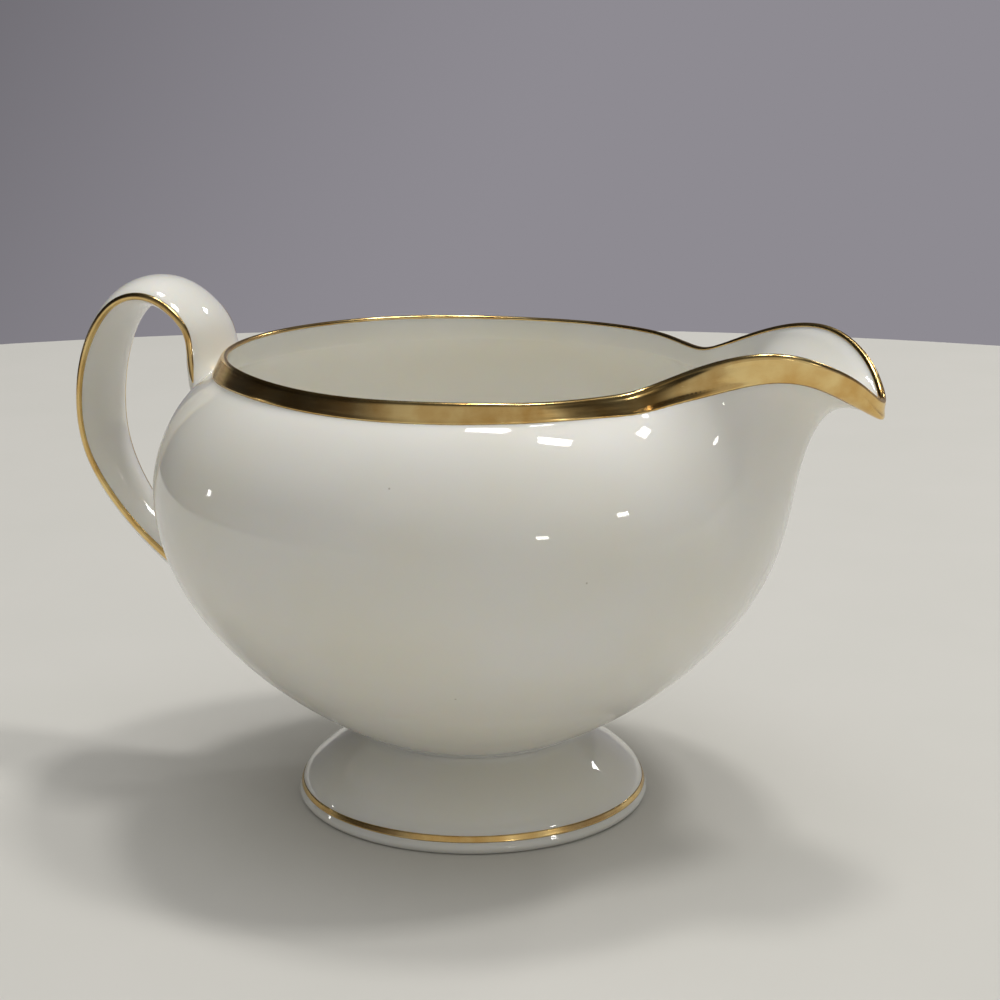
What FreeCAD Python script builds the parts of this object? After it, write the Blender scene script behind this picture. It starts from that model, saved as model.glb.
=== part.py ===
import FreeCAD, Part
import math
import os
from FreeCAD import Vector

# Footed cream jug in bone china with a pulled lip, a high loop handle and gilt lines.
# Millimetres. +X points out through the lip, +Z up, Z = 0 is the table and the Z axis
# is the axis of the foot and bowl. The jug is the same on both sides of the plane Y = 0.

os.makedirs("parts", exist_ok=True)

# ---------------------------------------------------------------- driving sizes
# Bowl, outside
neck_radius = 19.3            # narrowest ring, where bowl and foot meet
neck_height = 13.0
belly_radius = 54.3           # widest ring
belly_rise = 42.2             # widest ring above the neck
shoulder_inset = 10.4         # ring under the gilt band, in from the widest ring
shoulder_rise = 19.6          # the same ring above the widest ring
rim_inset = 1.35              # middle of the rim's thickness, in from the shoulder
rim_rise = 3.1                # top of the rim above the shoulder
base_radius = 8.0             # flat in the middle of the bowl's underside
base_drop = 1.9               # that flat below the neck

# Bowl, wall
wall = 2.0                    # at the belly
lower_wall = 2.36             # halfway down to the neck, where the wall is thicker
rim_thickness = 1.3
floor_thickness = 2.3

# Lip: plan of the rim's middle line from the tip back to where it leaves the circle
lip_run = 27.0                # tip of the lip beyond the rim's circle
lip_half_width = 17.5         # each side of the channel
throat_flare = 1.7            # widening of the channel where it opens out of the bowl
lip_rise = 6.0                # crest of the side lips above the rim
lip_crest_run = 22.5          # along the rim from the tip to the crest
lip_droop = 3.1               # tip below the rim
lip_droop_run = 5.4
throat_dip = 0.5              # the rim sinks a little each side of the throat

# Back of the rim, over the handle
back_lean = 1.0               # drawn in from the circle
back_rise = 0.7               # raised

# Foot
foot_radius = 30.8            # widest ring of the foot
foot_edge_height = 2.7        # top of the foot's rounded edge
foot_ring_inset = 0.6         # standing ring, in from the widest ring
foot_ring_width = 2.2
foot_wall = 2.4

# Handle: ridge line of the strap in the plane Y = 0
handle_run = 18.3             # outermost point beyond the widest ring
handle_rise = 8.1             # highest point above the rim
handle_drop = 20.2            # lower root below the widest ring
root_gap = 4.9                # upper root outside the shoulder
root_flare = 3.1              # widening of each side at the upper root
handle_half_width_top = 8.4
handle_half_width_low = 4.9
handle_dome = 3.5             # outer face above the ridge line
handle_hollow = 2.2           # inner face below the ridge line

# Joints and gilding
slip_thickness = 0.4          # luting slip between a stuck-on part and the bowl
gilt_film = 0.12
gilt_band_width = 3.9         # rim band, down the outside from the top of the rim
gilt_band_over = 0.7          # rim band, down the inside from the top of the rim
gilt_line_width = 1.1         # on the handle and the foot

# Places that follow from the sizes above
belly_height = neck_height + belly_rise
shoulder_radius = belly_radius - shoulder_inset
shoulder_height = belly_height + shoulder_rise
rim_radius = shoulder_radius - rim_inset
rim_height = shoulder_height + rim_rise
outer_rim_radius = rim_radius + rim_thickness / 2
base_height = neck_height - base_drop
floor_height = base_height + floor_thickness
lip_reach = rim_radius + lip_run
throat_half_width = lip_half_width + throat_flare
foot_ring_outer = foot_radius - foot_ring_inset
foot_ring_inner = foot_ring_outer - foot_ring_width
root_reach = max(shoulder_radius, outer_rim_radius) + root_gap
handle_reach = belly_radius + handle_run
handle_top = rim_height + handle_rise
handle_low = belly_height - handle_drop

# Fineness of the curved skins
columns = 48                  # rings are drawn with this many columns on each side

# ---------------------------------------------------------------- curve helpers


def curve_through(xs, ys):
    """Smooth function through the points, straight at both ends."""
    n = len(xs)
    h = [xs[i + 1] - xs[i] for i in range(n - 1)]
    lower = [0.0] * n
    main = [1.0] * n
    upper = [0.0] * n
    rhs = [0.0] * n
    for i in range(1, n - 1):
        lower[i] = h[i - 1]
        main[i] = 2 * (h[i - 1] + h[i])
        upper[i] = h[i]
        rhs[i] = 6 * ((ys[i + 1] - ys[i]) / h[i] - (ys[i] - ys[i - 1]) / h[i - 1])
    for i in range(1, n):
        m = lower[i] / main[i - 1]
        main[i] -= m * upper[i - 1]
        rhs[i] -= m * rhs[i - 1]
    bend = [0.0] * n
    for i in range(n - 2, 0, -1):
        bend[i] = (rhs[i] - upper[i] * bend[i + 1]) / main[i]

    def value(x):
        i = 0
        while i < n - 2 and x > xs[i + 1]:
            i += 1
        a = xs[i + 1] - x
        b = x - xs[i]
        k = h[i]
        cubic = (bend[i] * a**3 + bend[i + 1] * b**3) / (6 * k)
        start = ys[i] / k - bend[i] * k / 6
        end = ys[i + 1] / k - bend[i + 1] * k / 6
        return cubic + start * a + end * b

    return value


def share_curve(points):
    """Smooth function through (x, y) points that keeps its end values outside them."""
    inside = curve_through([p[0] for p in points], [p[1] for p in points])
    x_low, y_low = points[0]
    x_high, y_high = points[-1]

    def value(x):
        if x <= x_low:
            return y_low
        if x >= x_high:
            return y_high
        return inside(x)

    return value


def running_length(points):
    """Distance along the polyline at each of its points."""
    total = [0.0]
    for a, b in zip(points, points[1:]):
        total.append(total[-1] + math.dist(a, b))
    return total


# ---------------------------------------------------------------- skins


def skin(net, closed_across=False):
    """Bicubic surface on a net of poles: rows run along it, each row is a closed ring."""
    across = len(net)
    around = len(net[0])
    knots_across = list(range(across - 2))
    mults_across = [4] + [1] * (across - 4) + [4]
    if closed_across:
        knots_across = list(range(across + 1))
        mults_across = [1] * (across + 1)
    surface = Part.BSplineSurface()
    surface.buildFromPolesMultsKnots(
        net,
        mults_across,
        [1] * (around + 1),
        knots_across,
        list(range(around + 1)),
        closed_across,
        True,
        3,
        3,
    )
    return surface


def ring_edge(surface, at):
    return surface.uIso(at).toShape()


def closed_solid(faces):
    shell = Part.makeShell(faces)
    shell.sewShape()
    solid = Part.Solid(Part.Shell(shell.Faces))
    if solid.Volume < 0:
        solid.reverse()
    return solid


def capped(surface):
    """Solid inside a skin whose first and last rings are flat."""
    u_first, u_last, v_first, v_last = surface.bounds()
    caps = [Part.Face(Part.Wire([ring_edge(surface, u)])) for u in (u_first, u_last)]
    return closed_solid([surface.toShape()] + caps)


# ---------------------------------------------------------------- bowl profile
lower_fullness = 1.76
upper_fullness = 1.36
upper_turn = 78.0             # degrees of the shoulder's curve that are used
lower_rows = 12
upper_rows = 13


def lower_bowl(turn, radius, start_radius, start_height, fullness):
    """Point at 0 degrees on the start ring, at 90 degrees on the belly."""
    a = math.radians(turn)
    r = start_radius + (radius - start_radius) * math.sin(a) ** fullness
    return r, belly_height - (belly_height - start_height) * math.cos(a)


def upper_bowl(turn, radius, end_radius, end_height):
    """Point at 0 degrees on the belly, at upper_turn degrees on the end ring."""
    a = math.radians(turn)
    end = math.radians(upper_turn)
    inward = (radius - end_radius) / (1 - math.cos(end) ** upper_fullness)
    upward = (end_height - belly_height) / math.sin(end)
    r = radius - inward * (1 - math.cos(a) ** upper_fullness)
    return r, belly_height + upward * math.sin(a)


def inner_fullness():
    """Fullness of the lower inside that leaves lower_wall at 45 degrees of its curve."""
    half = math.sin(math.radians(45.0))
    height = belly_height - (belly_height - floor_height) * half
    turn = math.acos((belly_height - height) / (belly_height - neck_height))
    flare = belly_radius - neck_radius
    outer_radius = neck_radius + flare * math.sin(turn) ** lower_fullness
    widening = flare * lower_fullness * math.sin(turn) ** (lower_fullness - 1) * math.cos(turn)
    climb = (belly_height - neck_height) * math.sin(turn)
    level_wall = lower_wall * math.hypot(widening, climb) / climb
    return math.log((outer_radius - level_wall) / (belly_radius - wall)) / math.log(half)


def outer_profile():
    """Rings (radius, height) of the outside from the neck to the shoulder."""
    rings = []
    for k in range(lower_rows):
        turn = 90.0 * k / lower_rows
        rings.append(lower_bowl(turn, belly_radius, neck_radius, neck_height, lower_fullness))
    for k in range(upper_rows + 1):
        turn = upper_turn * k / upper_rows
        rings.append(upper_bowl(turn, belly_radius, shoulder_radius, shoulder_height))
    return rings


# ---------------------------------------------------------------- lip
join_angle = 60.0             # the rim is a plain circle beyond this angle from the lip
tip_pace = 1.4                # millimetres of rim per degree of belly at the tip


def on_rim_circle(angle):
    a = math.radians(angle)
    return rim_radius * math.cos(a), rim_radius * math.sin(a)


half_plan = [
    (lip_reach, 0.0),
    (lip_reach - 0.07 * lip_run, 0.30 * lip_half_width),
    (lip_reach - 0.33 * lip_run, 0.765 * lip_half_width),
    (lip_reach - 0.74 * lip_run, lip_half_width),
    (rim_radius - 4.0, throat_half_width),
    (rim_radius - 10.0, throat_half_width + 5.4),
    on_rim_circle(join_angle),
]
beyond = [on_rim_circle(a) for a in (75.0, 90.0, 105.0)]
mirrored = [(x, -y) for x, y in half_plan[2:0:-1]]
plan = mirrored + half_plan + beyond
plan_length = [s - running_length(plan)[2] for s in running_length(plan)]
plan_x = curve_through(plan_length, [p[0] for p in plan])
plan_y = curve_through(plan_length, [p[1] for p in plan])
lip_length = plan_length[2 + len(half_plan) - 1]


def along_rim(angle):
    """Distance along the rim from the tip for a belly angle."""
    circle_pace = rim_radius * math.radians(1.0)
    if angle > join_angle:
        return lip_length + (angle - join_angle) * circle_pace
    h = angle / join_angle
    s = lip_length * (3 * h**2 - 2 * h**3)
    s += join_angle * tip_pace * (h - 2 * h**2 + h**3)
    return s + join_angle * circle_pace * (h**3 - h**2)


def rim_plan(angle):
    """Plan point of the rim's middle line for a belly angle of any sign."""
    side = 1.0
    if angle < 0:
        side = -1.0
    a = abs(angle)
    if a >= join_angle:
        x, y = on_rim_circle(a)
        return x, side * y
    s = along_rim(a)
    return plan_x(s), side * plan_y(s)


def rim_normal(angle):
    """Outward direction of the rim in plan."""
    xa, ya = rim_plan(angle - 0.5)
    xb, yb = rim_plan(angle + 0.5)
    length = math.hypot(xb - xa, yb - ya)
    return (yb - ya) / length, (xa - xb) / length


def side_rise(angle):
    """Height of the rim above its circle: the crest of the side lip, then the throat's dip."""
    s = along_rim(angle)
    rise = -throat_dip * math.exp(-(((s - 0.8 * lip_length) / (0.22 * lip_length)) ** 2))
    if s < 2 * lip_crest_run:
        steepness = 2.0 if s < lip_crest_run else 1.6
        rise += lip_rise * math.sin(math.pi * s / (2 * lip_crest_run)) ** steepness
    return rise


def tip_droop(angle):
    return lip_droop * math.exp(-((along_rim(angle) / lip_droop_run) ** 2))


# Shares of the lip's reach, rise and droop that a ring takes, by its height between
# the belly (0) and the rim (1)
outside_pull = share_curve(
    [(-0.5, 0), (0.0, 0.027), (0.24, 0.095), (0.385, 0.163), (0.557, 0.283), (0.684, 0.42),
     (0.754, 0.55), (0.794, 0.67), (0.829, 0.80), (0.864, 0.93), (0.93, 0.985), (1.0, 1.0)]
)
inside_pull = share_curve(
    [(-0.22, 0), (0.21, 0.03), (0.474, 0.13), (0.671, 0.31), (0.816, 0.56), (0.89, 0.76),
     (0.956, 0.93), (1.0, 1.0)]
)
outside_pinch = share_curve([(0.2, 0), (0.65, 0.25), (0.86, 0.62), (1.0, 1.0)])
rise_share = share_curve([(-0.22, 0), (0.21, 0.15), (0.56, 0.45), (0.86, 0.82), (1.0, 1.0)])
outside_droop = share_curve([(0.70, 0), (0.80, -0.07), (0.83, 0.3), (0.864, 0.98), (1.0, 1.0)])
inside_droop = share_curve([(0.89, 0), (0.956, 0.4), (1.0, 1.0)])


# Share of the lean and rise at the back that a ring takes, by the same heights
back_share = share_curve([(0.86, 0), (0.93, 0.45), (1.0, 1.0)])


def back_weight(angle):
    """0 at the sides of the rim, 1 at its back."""
    return math.sin(math.pi / 2 * min(1.0, max(0.0, (angle - 90.0) / 50.0))) ** 2


def column_angle(i):
    """Belly angle of column i: close together at the lip, wide at the back."""
    t = i / columns
    return 180.0 * (t - 0.6 * math.sin(math.pi * t) / math.pi)


def drawn_ring(r, z, push, pull, pinch, droop):
    """One closed ring of the bowl's skin, pulled toward the lip."""
    half = []
    for i in range(columns + 1):
        angle = column_angle(i)
        a = math.radians(angle)
        step = math.radians(column_angle(min(i + 1, columns)) - column_angle(max(i - 1, 0))) / 2
        if i in (0, columns):
            step = step * 2
        spread = 3 / (2 + math.cos(step))
        x, y = rim_plan(angle)
        nx, ny = rim_normal(angle)
        dx = x + nx * push - (rim_radius + push) * math.cos(a)
        dy = y + ny * push - (rim_radius + push) * math.sin(a)
        share = (z - belly_height) / (rim_height - belly_height)
        back = back_share(share) * back_weight(angle)
        height = z + rise_share(share) * side_rise(angle) - droop * tip_droop(angle)
        height += back_rise * back
        ring_x = (spread * r - back_lean * back) * math.cos(a)
        ring_y = (spread * r - back_lean * back) * math.sin(a)
        half.append(Vector(ring_x + pull * dx, ring_y + pinch * dy, height))
    half[0].y = 0.0
    half[-1].y = 0.0
    other = [Vector(p.x, -p.y, p.z) for p in half[-2:0:-1]]
    return half + other


def outer_ring(r, z):
    share = (z - belly_height) / (rim_height - belly_height)
    below_rim = min(1.0, max(0.0, (rim_height - z) / rim_rise))
    push = rim_thickness / 2 + 0.9 * below_rim
    return drawn_ring(r, z, push, outside_pull(share), outside_pinch(share), outside_droop(share))


def inner_ring(r, z):
    share = (z - belly_height) / (rim_height - belly_height)
    pull = inside_pull(share)
    return drawn_ring(r, z, -rim_thickness / 2, pull, pull, inside_droop(share))


def rim_ring(turn):
    """Ring on the rounded top of the rim: 0 degrees outside, 90 on top, 180 inside."""
    a = math.radians(turn)
    push = rim_thickness / 2 * math.cos(a)
    z = rim_height - rim_thickness / 2 * (1 - math.sin(a))
    return drawn_ring(rim_radius + push, z, push, 1.0, 1.0, 1.0)


band_height = rim_rise - rim_thickness / 2


def band_rings():
    """Rings between the shoulder and the rounded top of the rim."""
    rings = []
    for part in (0.33, 0.66, 0.9):
        r = shoulder_radius + part * (outer_rim_radius - shoulder_radius)
        rings.append(outer_ring(r, shoulder_height + part * band_height))
    return rings


rim_turns = (0.0, 35.0, 65.0, 90.0, 115.0, 145.0, 180.0)


def bowl_net():
    """Rings of the bowl's skin: up the outside, over the rim and down the inside."""
    net = []
    # underside, from the flat in the middle out to the neck
    for part in (0.0, 0.3, 0.6, 0.85):
        r = base_radius + part * (neck_radius - base_radius)
        net.append(outer_ring(r, base_height + base_drop * part**2.2))
    net += [outer_ring(r, z) for r, z in outer_profile()]
    net += band_rings()
    net += [rim_ring(turn) for turn in rim_turns]
    # inside of the rim, down to the inner shoulder
    inner_shoulder_radius = shoulder_radius - rim_thickness
    inner_shoulder_height = shoulder_height - 0.6 * wall
    inner_rim_radius = rim_radius - rim_thickness / 2
    inner_rim_height = rim_height - rim_thickness / 2
    for part in (0.12, 0.3, 0.5, 0.7, 0.88):
        z = inner_rim_height - part * (inner_rim_height - inner_shoulder_height)
        r = inner_rim_radius + part**2 * (inner_shoulder_radius - inner_rim_radius)
        net.append(inner_ring(r, z))
    inner_radius = belly_radius - wall
    for k in range(upper_rows, 0, -1):
        turn = upper_turn * k / upper_rows
        r, z = upper_bowl(turn, inner_radius, inner_shoulder_radius, inner_shoulder_height)
        net.append(inner_ring(r, z))
    for k in range(lower_rows, 0, -1):
        turn = 90.0 * k / lower_rows
        r, z = lower_bowl(turn, inner_radius, 0.0, floor_height, inner_fullness())
        net.append(inner_ring(r, z))
    return net


bowl_skin = skin(bowl_net())
bowl = capped(bowl_skin)
bowl.exportStep("parts/bowl.step")


# ---------------------------------------------------------------- turned solids
# Solids of revolution that follow the outside of the bowl at a distance


def in_plane(r, z):
    return Vector(r, 0, z)


def smooth_edge(points):
    curve = Part.BSplineCurve()
    curve.interpolate([in_plane(r, z) for r, z in points])
    return curve.toShape()


def polyline(points):
    return [Part.makeLine(in_plane(*a), in_plane(*b)) for a, b in zip(points, points[1:])]


def turned(edges):
    """Solid turned about the Z axis from edges that close a flat outline."""
    face = Part.Face(Part.Wire(Part.__sortEdges__(edges)))
    solid = face.revolve(Vector(0, 0, 0), Vector(0, 0, 1), 360)
    if solid.Volume < 0:
        solid.reverse()
    return solid


def shifted(points, distance):
    """Points of an outline moved to its right-hand side."""
    moved = []
    for i, (r, z) in enumerate(points):
        ra, za = points[max(i - 1, 0)]
        rb, zb = points[min(i + 1, len(points) - 1)]
        length = math.hypot(rb - ra, zb - za)
        moved.append((r + distance * (zb - za) / length, z - distance * (rb - ra) / length))
    return moved


def bowl_envelope(distance):
    """Filled solid whose side lies the given distance outside the bowl's round part."""
    rings = [(base_radius, base_height)]
    rings.append(((base_radius + neck_radius) / 2, base_height + 0.22 * base_drop))
    rings += outer_profile()
    rings.append((outer_rim_radius, rim_height - rim_thickness / 2))
    side = shifted(rings, distance)
    r_low, z_low = side[0]
    r_top, z_top = side[-1]
    flats = polyline([(r_top, z_top), (0, z_top), (0, z_low), (r_low, z_low)])
    return turned([smooth_edge(side)] + flats)


seat_solid = bowl_envelope(slip_thickness)
core_solid = bowl_envelope(-0.6 * wall)


def seated(full):
    """Splits a part that runs into the bowl into the part itself and its luting slip."""
    part = full.cut(seat_solid)
    rooted = full.common(seat_solid)
    box = rooted.BoundBox
    box.enlarge(2 * wall)
    corner = Vector(box.XMin, box.YMin, box.ZMin)
    block = Part.makeBox(box.XLength, box.YLength, box.ZLength, corner)
    slip = rooted.cut(core_solid).cut(bowl.common(block))
    return largest(part), slip


def largest(shape):
    return max(shape.Solids, key=lambda solid: solid.Volume)


# ---------------------------------------------------------------- foot
def foot_outline():
    """Outside of the foot from inside the bowl's wall down to the table."""
    drop = neck_height - foot_edge_height
    flare = foot_radius - neck_radius
    return [
        (neck_radius - 0.1, neck_height + 1.2),
        (neck_radius + 0.15, neck_height - 0.08 * drop),
        (neck_radius + 0.14 * flare, neck_height - 0.22 * drop),
        (neck_radius + 0.44 * flare, neck_height - 0.44 * drop),
        (neck_radius + 0.73 * flare, neck_height - 0.68 * drop),
        (neck_radius + 0.905 * flare, foot_edge_height + 0.11 * drop),
        (foot_radius - 0.3, 0.7 * foot_edge_height),
        (foot_radius, 0.36 * foot_edge_height),
        (foot_ring_outer, 0.0),
    ]


def foot_inside():
    """Inside of the foot from the standing ring up into the bowl's wall."""
    drop = neck_height - foot_edge_height
    flare = foot_ring_inner - neck_radius
    return [
        (foot_ring_inner, 0.0),
        (foot_ring_inner - 0.1 * flare, 0.4 * foot_edge_height),
        (foot_ring_inner - 0.3 * flare, 1.18 * foot_edge_height),
        (neck_radius + 0.185 * flare, neck_height - 0.62 * drop),
        (neck_radius - 0.7 * foot_wall, neck_height - 0.34 * drop),
        (neck_radius - 1.1 * foot_wall, neck_height + 1.2),
    ]


foot_curve = Part.BSplineCurve()
foot_curve.interpolate([in_plane(r, z) for r, z in foot_outline()])


def foot():
    ring = polyline([foot_outline()[-1], foot_inside()[0]])
    top = polyline([foot_inside()[-1], foot_outline()[0]])
    return seated(turned([foot_curve.toShape(), smooth_edge(foot_inside())] + ring + top))


foot_part, foot_slip = foot()
foot_part.exportStep("parts/foot.step")
foot_slip.exportStep("parts/foot_slip.step")


# ---------------------------------------------------------------- handle
strap_columns = 24
strap_rows = 46


def ridge_points():
    """Ridge line of the strap in the plane Y = 0, from the upper root to the lower one."""
    reach = handle_reach - root_reach
    rise = handle_top - handle_low
    shape = [
        (0.02, 0.795), (0.054, 0.88), (0.178, 0.947), (0.335, 0.99), (0.508, 0.998),
        (0.665, 0.969), (0.793, 0.91), (0.946, 0.763), (1.0, 0.6), (0.963, 0.437),
        (0.814, 0.29), (0.599, 0.161), (0.339, 0.053),
    ]
    upper = [
        (-root_reach + 5.0, shoulder_height - 10.5),
        (-root_reach + 1.2, shoulder_height - 5.0),
    ]
    middle = [(-(root_reach + f * reach), handle_low + g * rise) for f, g in shape]
    belly_side = profile_radius(handle_low)
    lower = [
        (-belly_side - 5.8, handle_low + 0.1),
        (-belly_side - 0.6, handle_low - 2.2),
        (-profile_radius(handle_low - 3.0) + 6.5, handle_low - 4.2),
    ]
    return upper + middle + lower


def profile_radius(z):
    """Outside radius of the bowl at a height up to the shoulder."""
    rings = outer_profile()
    for (ra, za), (rb, zb) in zip(rings, rings[1:]):
        if za <= z <= zb:
            return ra + (rb - ra) * (z - za) / (zb - za)
    return shoulder_radius


# Strap section by share of its length: half width in millimetres, dome and hollow as
# shares of their named sizes
half_width = share_curve(
    [(0.0, handle_half_width_top + root_flare), (0.06, handle_half_width_top + 0.58 * root_flare),
     (0.12, handle_half_width_top + 0.16 * root_flare), (0.2, handle_half_width_top),
     (0.5, handle_half_width_top - 0.2), (0.9, handle_half_width_low + 0.1),
     (1.0, handle_half_width_low + 1.1)]
)
dome_share = share_curve(
    [(0.0, 1.5), (0.07, 1.25), (0.13, 0.75), (0.25, 0.83), (0.4, 0.75), (0.55, 0.93), (0.85, 0.9),
     (1.0, 1.2)]
)
hollow_share = share_curve(
    [(0.0, 2.6), (0.07, 2.0), (0.13, 1.4), (0.25, 1.15), (0.4, 1.0), (0.85, 0.95), (1.0, 1.6)]
)


def strap_net():
    """Sections of the strap: an almond with a ridge on each side."""
    ridge = ridge_points()
    length = running_length(ridge)
    at_x = curve_through(length, [p[0] for p in ridge])
    at_z = curve_through(length, [p[1] for p in ridge])
    net = []
    for k in range(strap_rows + 1):
        t = k / strap_rows
        s = t * length[-1]
        step = 0.05
        tx = at_x(s + step) - at_x(s - step)
        tz = at_z(s + step) - at_z(s - step)
        size = math.hypot(tx, tz)
        nx, nz = tz / size, -tx / size
        row = []
        for c in range(strap_columns):
            a = 2 * math.pi * c / strap_columns
            lift = handle_dome * dome_share(t)
            if math.sin(a) < 0:
                lift = -handle_hollow * hollow_share(t)
            off = lift * abs(math.sin(a)) ** 1.4
            y = half_width(t) * math.cos(a)
            row.append(Vector(at_x(s) + nx * off, y, at_z(s) + nz * off))
        net.append(row)
    return net


handle_skin = skin(strap_net())
handle_part, handle_slips = seated(capped(handle_skin))
handle_part.exportStep("parts/handle.step")
upper_slip = max(handle_slips.Solids, key=lambda solid: solid.CenterOfMass.z)
upper_slip.exportStep("parts/handle_upper_slip.step")
lower_slip = min(handle_slips.Solids, key=lambda solid: solid.CenterOfMass.z)
lower_slip.exportStep("parts/handle_lower_slip.step")


# ---------------------------------------------------------------- gilding
# Fired gold, drawn as a thin film that lies on the skin it covers


def pole_places(knots, mults, poles):
    """Parameter at which each pole of a cubic row has the most say."""
    flat = [k for k, m in zip(knots, mults) for _ in range(m)]
    return [sum(flat[i + 1:i + 4]) / 3 for i in range(poles)]


def film_on(surface, span_u, span_v, outward):
    """Solid film on the part of a surface between two pairs of parameters."""
    under = surface.copy()
    under.segment(span_u[0], span_u[1], span_v[0], span_v[1])
    over = under.copy()
    rows = pole_places(under.getUKnots(), under.getUMultiplicities(), under.NbUPoles)
    cols = pole_places(under.getVKnots(), under.getVMultiplicities(), under.NbVPoles)
    for i, u in enumerate(rows):
        for j, v in enumerate(cols):
            normal = under.normal(u, v) * outward
            over.setPole(i + 1, j + 1, under.getPole(i + 1, j + 1) + normal * gilt_film)
    u_first, u_last, v_first, v_last = under.bounds()
    faces = [under.toShape(), over.toShape()]
    for u in (u_first, u_last):
        faces.append(Part.makeRuledSurface(under.uIso(u).toShape(), over.uIso(u).toShape()))
    if under.getPole(1, 1).distanceToPoint(under.getPole(1, under.NbVPoles)) > 0.001:
        for v in (v_first, v_last):
            faces.append(Part.makeRuledSurface(under.vIso(v).toShape(), over.vIso(v).toShape()))
    return closed_solid(faces)


def outward_sign(surface, u, v, inner_point):
    """1 when the surface's normal points away from the inner point, else -1."""
    if surface.normal(u, v).dot(surface.value(u, v) - inner_point) < 0:
        return -1.0
    return 1.0


# Rim: from below the band's lower edge, over the rounded top, to just inside
top_row = 4 + lower_rows + upper_rows + 1 + 3 + rim_turns.index(90.0) - 1


def band_place(width, direction):
    """Parameter of the bowl's skin at a distance from the top of the rim, at its side."""
    at_side = bowl_skin.bounds()[3] / 4
    u = top_row
    here = bowl_skin.value(u, at_side)
    gone = 0.0
    while gone < width:
        u += direction * 0.01
        there = bowl_skin.value(u, at_side)
        gone += here.distanceToPoint(there)
        here = there
    return u


band_span = (band_place(gilt_band_width, -1), band_place(gilt_band_over, 1))
inside_point = Vector(0, 0, shoulder_height)
side = outward_sign(bowl_skin, band_span[0], bowl_skin.bounds()[3] / 4, inside_point)
rim_gilding = film_on(bowl_skin, band_span, bowl_skin.bounds()[2:], side)
rim_gilding.exportStep("parts/rim_gilding.step")


# Handle: a line along each ridge, from just outside one root to just outside the other
ridge_right = strap_columns / 2 - 1.0      # place across the strap of the ridge at -Y
ridge_left = strap_columns - 1.0


def clear_of_bowl(u, v):
    point = handle_skin.value(u, v)
    return math.hypot(point.x, point.y) > profile_radius(point.z) + slip_thickness + 0.6


def gilt_line(ridge):
    u_low, u_high = handle_skin.bounds()[:2]
    steps = [u_low + (u_high - u_low) * k / 400 for k in range(401)]
    middle = (u_low + u_high) / 2
    buried = [u for u in steps if not clear_of_bowl(u, ridge)]
    start = max(u for u in buried if u < middle) + (steps[1] - steps[0])
    end = min(u for u in buried if u > middle) - (steps[1] - steps[0])
    beside = [handle_skin.value(middle, ridge + move) for move in (-0.5, 0.5)]
    across = beside[0].distanceToPoint(beside[1])
    half = gilt_line_width / across / 2
    middle_point = handle_skin.value(middle, ridge)
    side = outward_sign(handle_skin, middle, ridge, Vector(middle_point.x, 0, middle_point.z))
    return film_on(handle_skin, (start, end), (ridge - half, ridge + half), side)


handle_gilding_right = gilt_line(ridge_right)
handle_gilding_right.exportStep("parts/handle_gilding_right.step")
handle_gilding_left = gilt_line(ridge_left)
handle_gilding_left.exportStep("parts/handle_gilding_left.step")

# Foot: a line round the top of the foot's rounded edge
gilt_top = 1.17 * foot_edge_height


def foot_place(z):
    """Parameter of the foot's outline at a height."""
    low = foot_curve.FirstParameter
    high = foot_curve.LastParameter
    for _ in range(50):
        half = (low + high) / 2
        if foot_curve.value(half).z > z:
            low = half
        else:
            high = half
    return low


def foot_gilding():
    line = foot_curve.copy()
    line.segment(foot_place(gilt_top), foot_place(gilt_top - 0.9 * gilt_line_width))
    count = 8
    points = []
    for k in range(count + 1):
        at = line.FirstParameter + (line.LastParameter - line.FirstParameter) * k / count
        along = line.tangent(at)[0]
        points.append(line.value(at) + Vector(-along.z, 0, along.x) * gilt_film)
    lifted = Part.BSplineCurve()
    lifted.interpolate(points)
    ends = [Part.makeLine(line.value(line.FirstParameter), points[0])]
    ends.append(Part.makeLine(line.value(line.LastParameter), points[-1]))
    return turned([line.toShape(), lifted.toShape()] + ends)


foot_gilding_part = foot_gilding()
foot_gilding_part.exportStep("parts/foot_gilding.step")
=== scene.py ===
import math

import bmesh
import bpy
import numpy as np
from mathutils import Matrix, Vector


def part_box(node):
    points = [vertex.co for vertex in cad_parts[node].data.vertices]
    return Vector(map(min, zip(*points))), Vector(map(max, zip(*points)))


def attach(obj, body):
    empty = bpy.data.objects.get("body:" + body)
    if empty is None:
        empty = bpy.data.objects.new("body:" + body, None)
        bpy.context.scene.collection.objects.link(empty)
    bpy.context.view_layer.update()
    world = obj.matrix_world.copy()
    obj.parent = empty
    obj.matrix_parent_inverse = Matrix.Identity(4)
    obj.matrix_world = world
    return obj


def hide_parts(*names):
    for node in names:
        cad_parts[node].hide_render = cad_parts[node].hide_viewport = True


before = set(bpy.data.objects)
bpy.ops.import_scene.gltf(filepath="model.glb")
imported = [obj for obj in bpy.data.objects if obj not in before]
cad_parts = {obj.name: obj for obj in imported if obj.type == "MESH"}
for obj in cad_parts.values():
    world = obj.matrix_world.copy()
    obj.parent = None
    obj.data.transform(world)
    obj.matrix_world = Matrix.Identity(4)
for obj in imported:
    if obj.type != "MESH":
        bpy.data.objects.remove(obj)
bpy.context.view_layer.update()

# Footed cream jug in glazed bone china with burnished gilding.
# Sizes are in millimetres and turn to metres where a mesh is made.
# +X runs out through the lip, the handle is at -X, the table is at Z = 0.

metresPerMm = 0.001
insideBox = 0.9998      # meshes are a hair smaller than the curves, to stay in the CAD box
tinyStep = 0.02         # step along a skin that shows its direction
detail = 2


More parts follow.
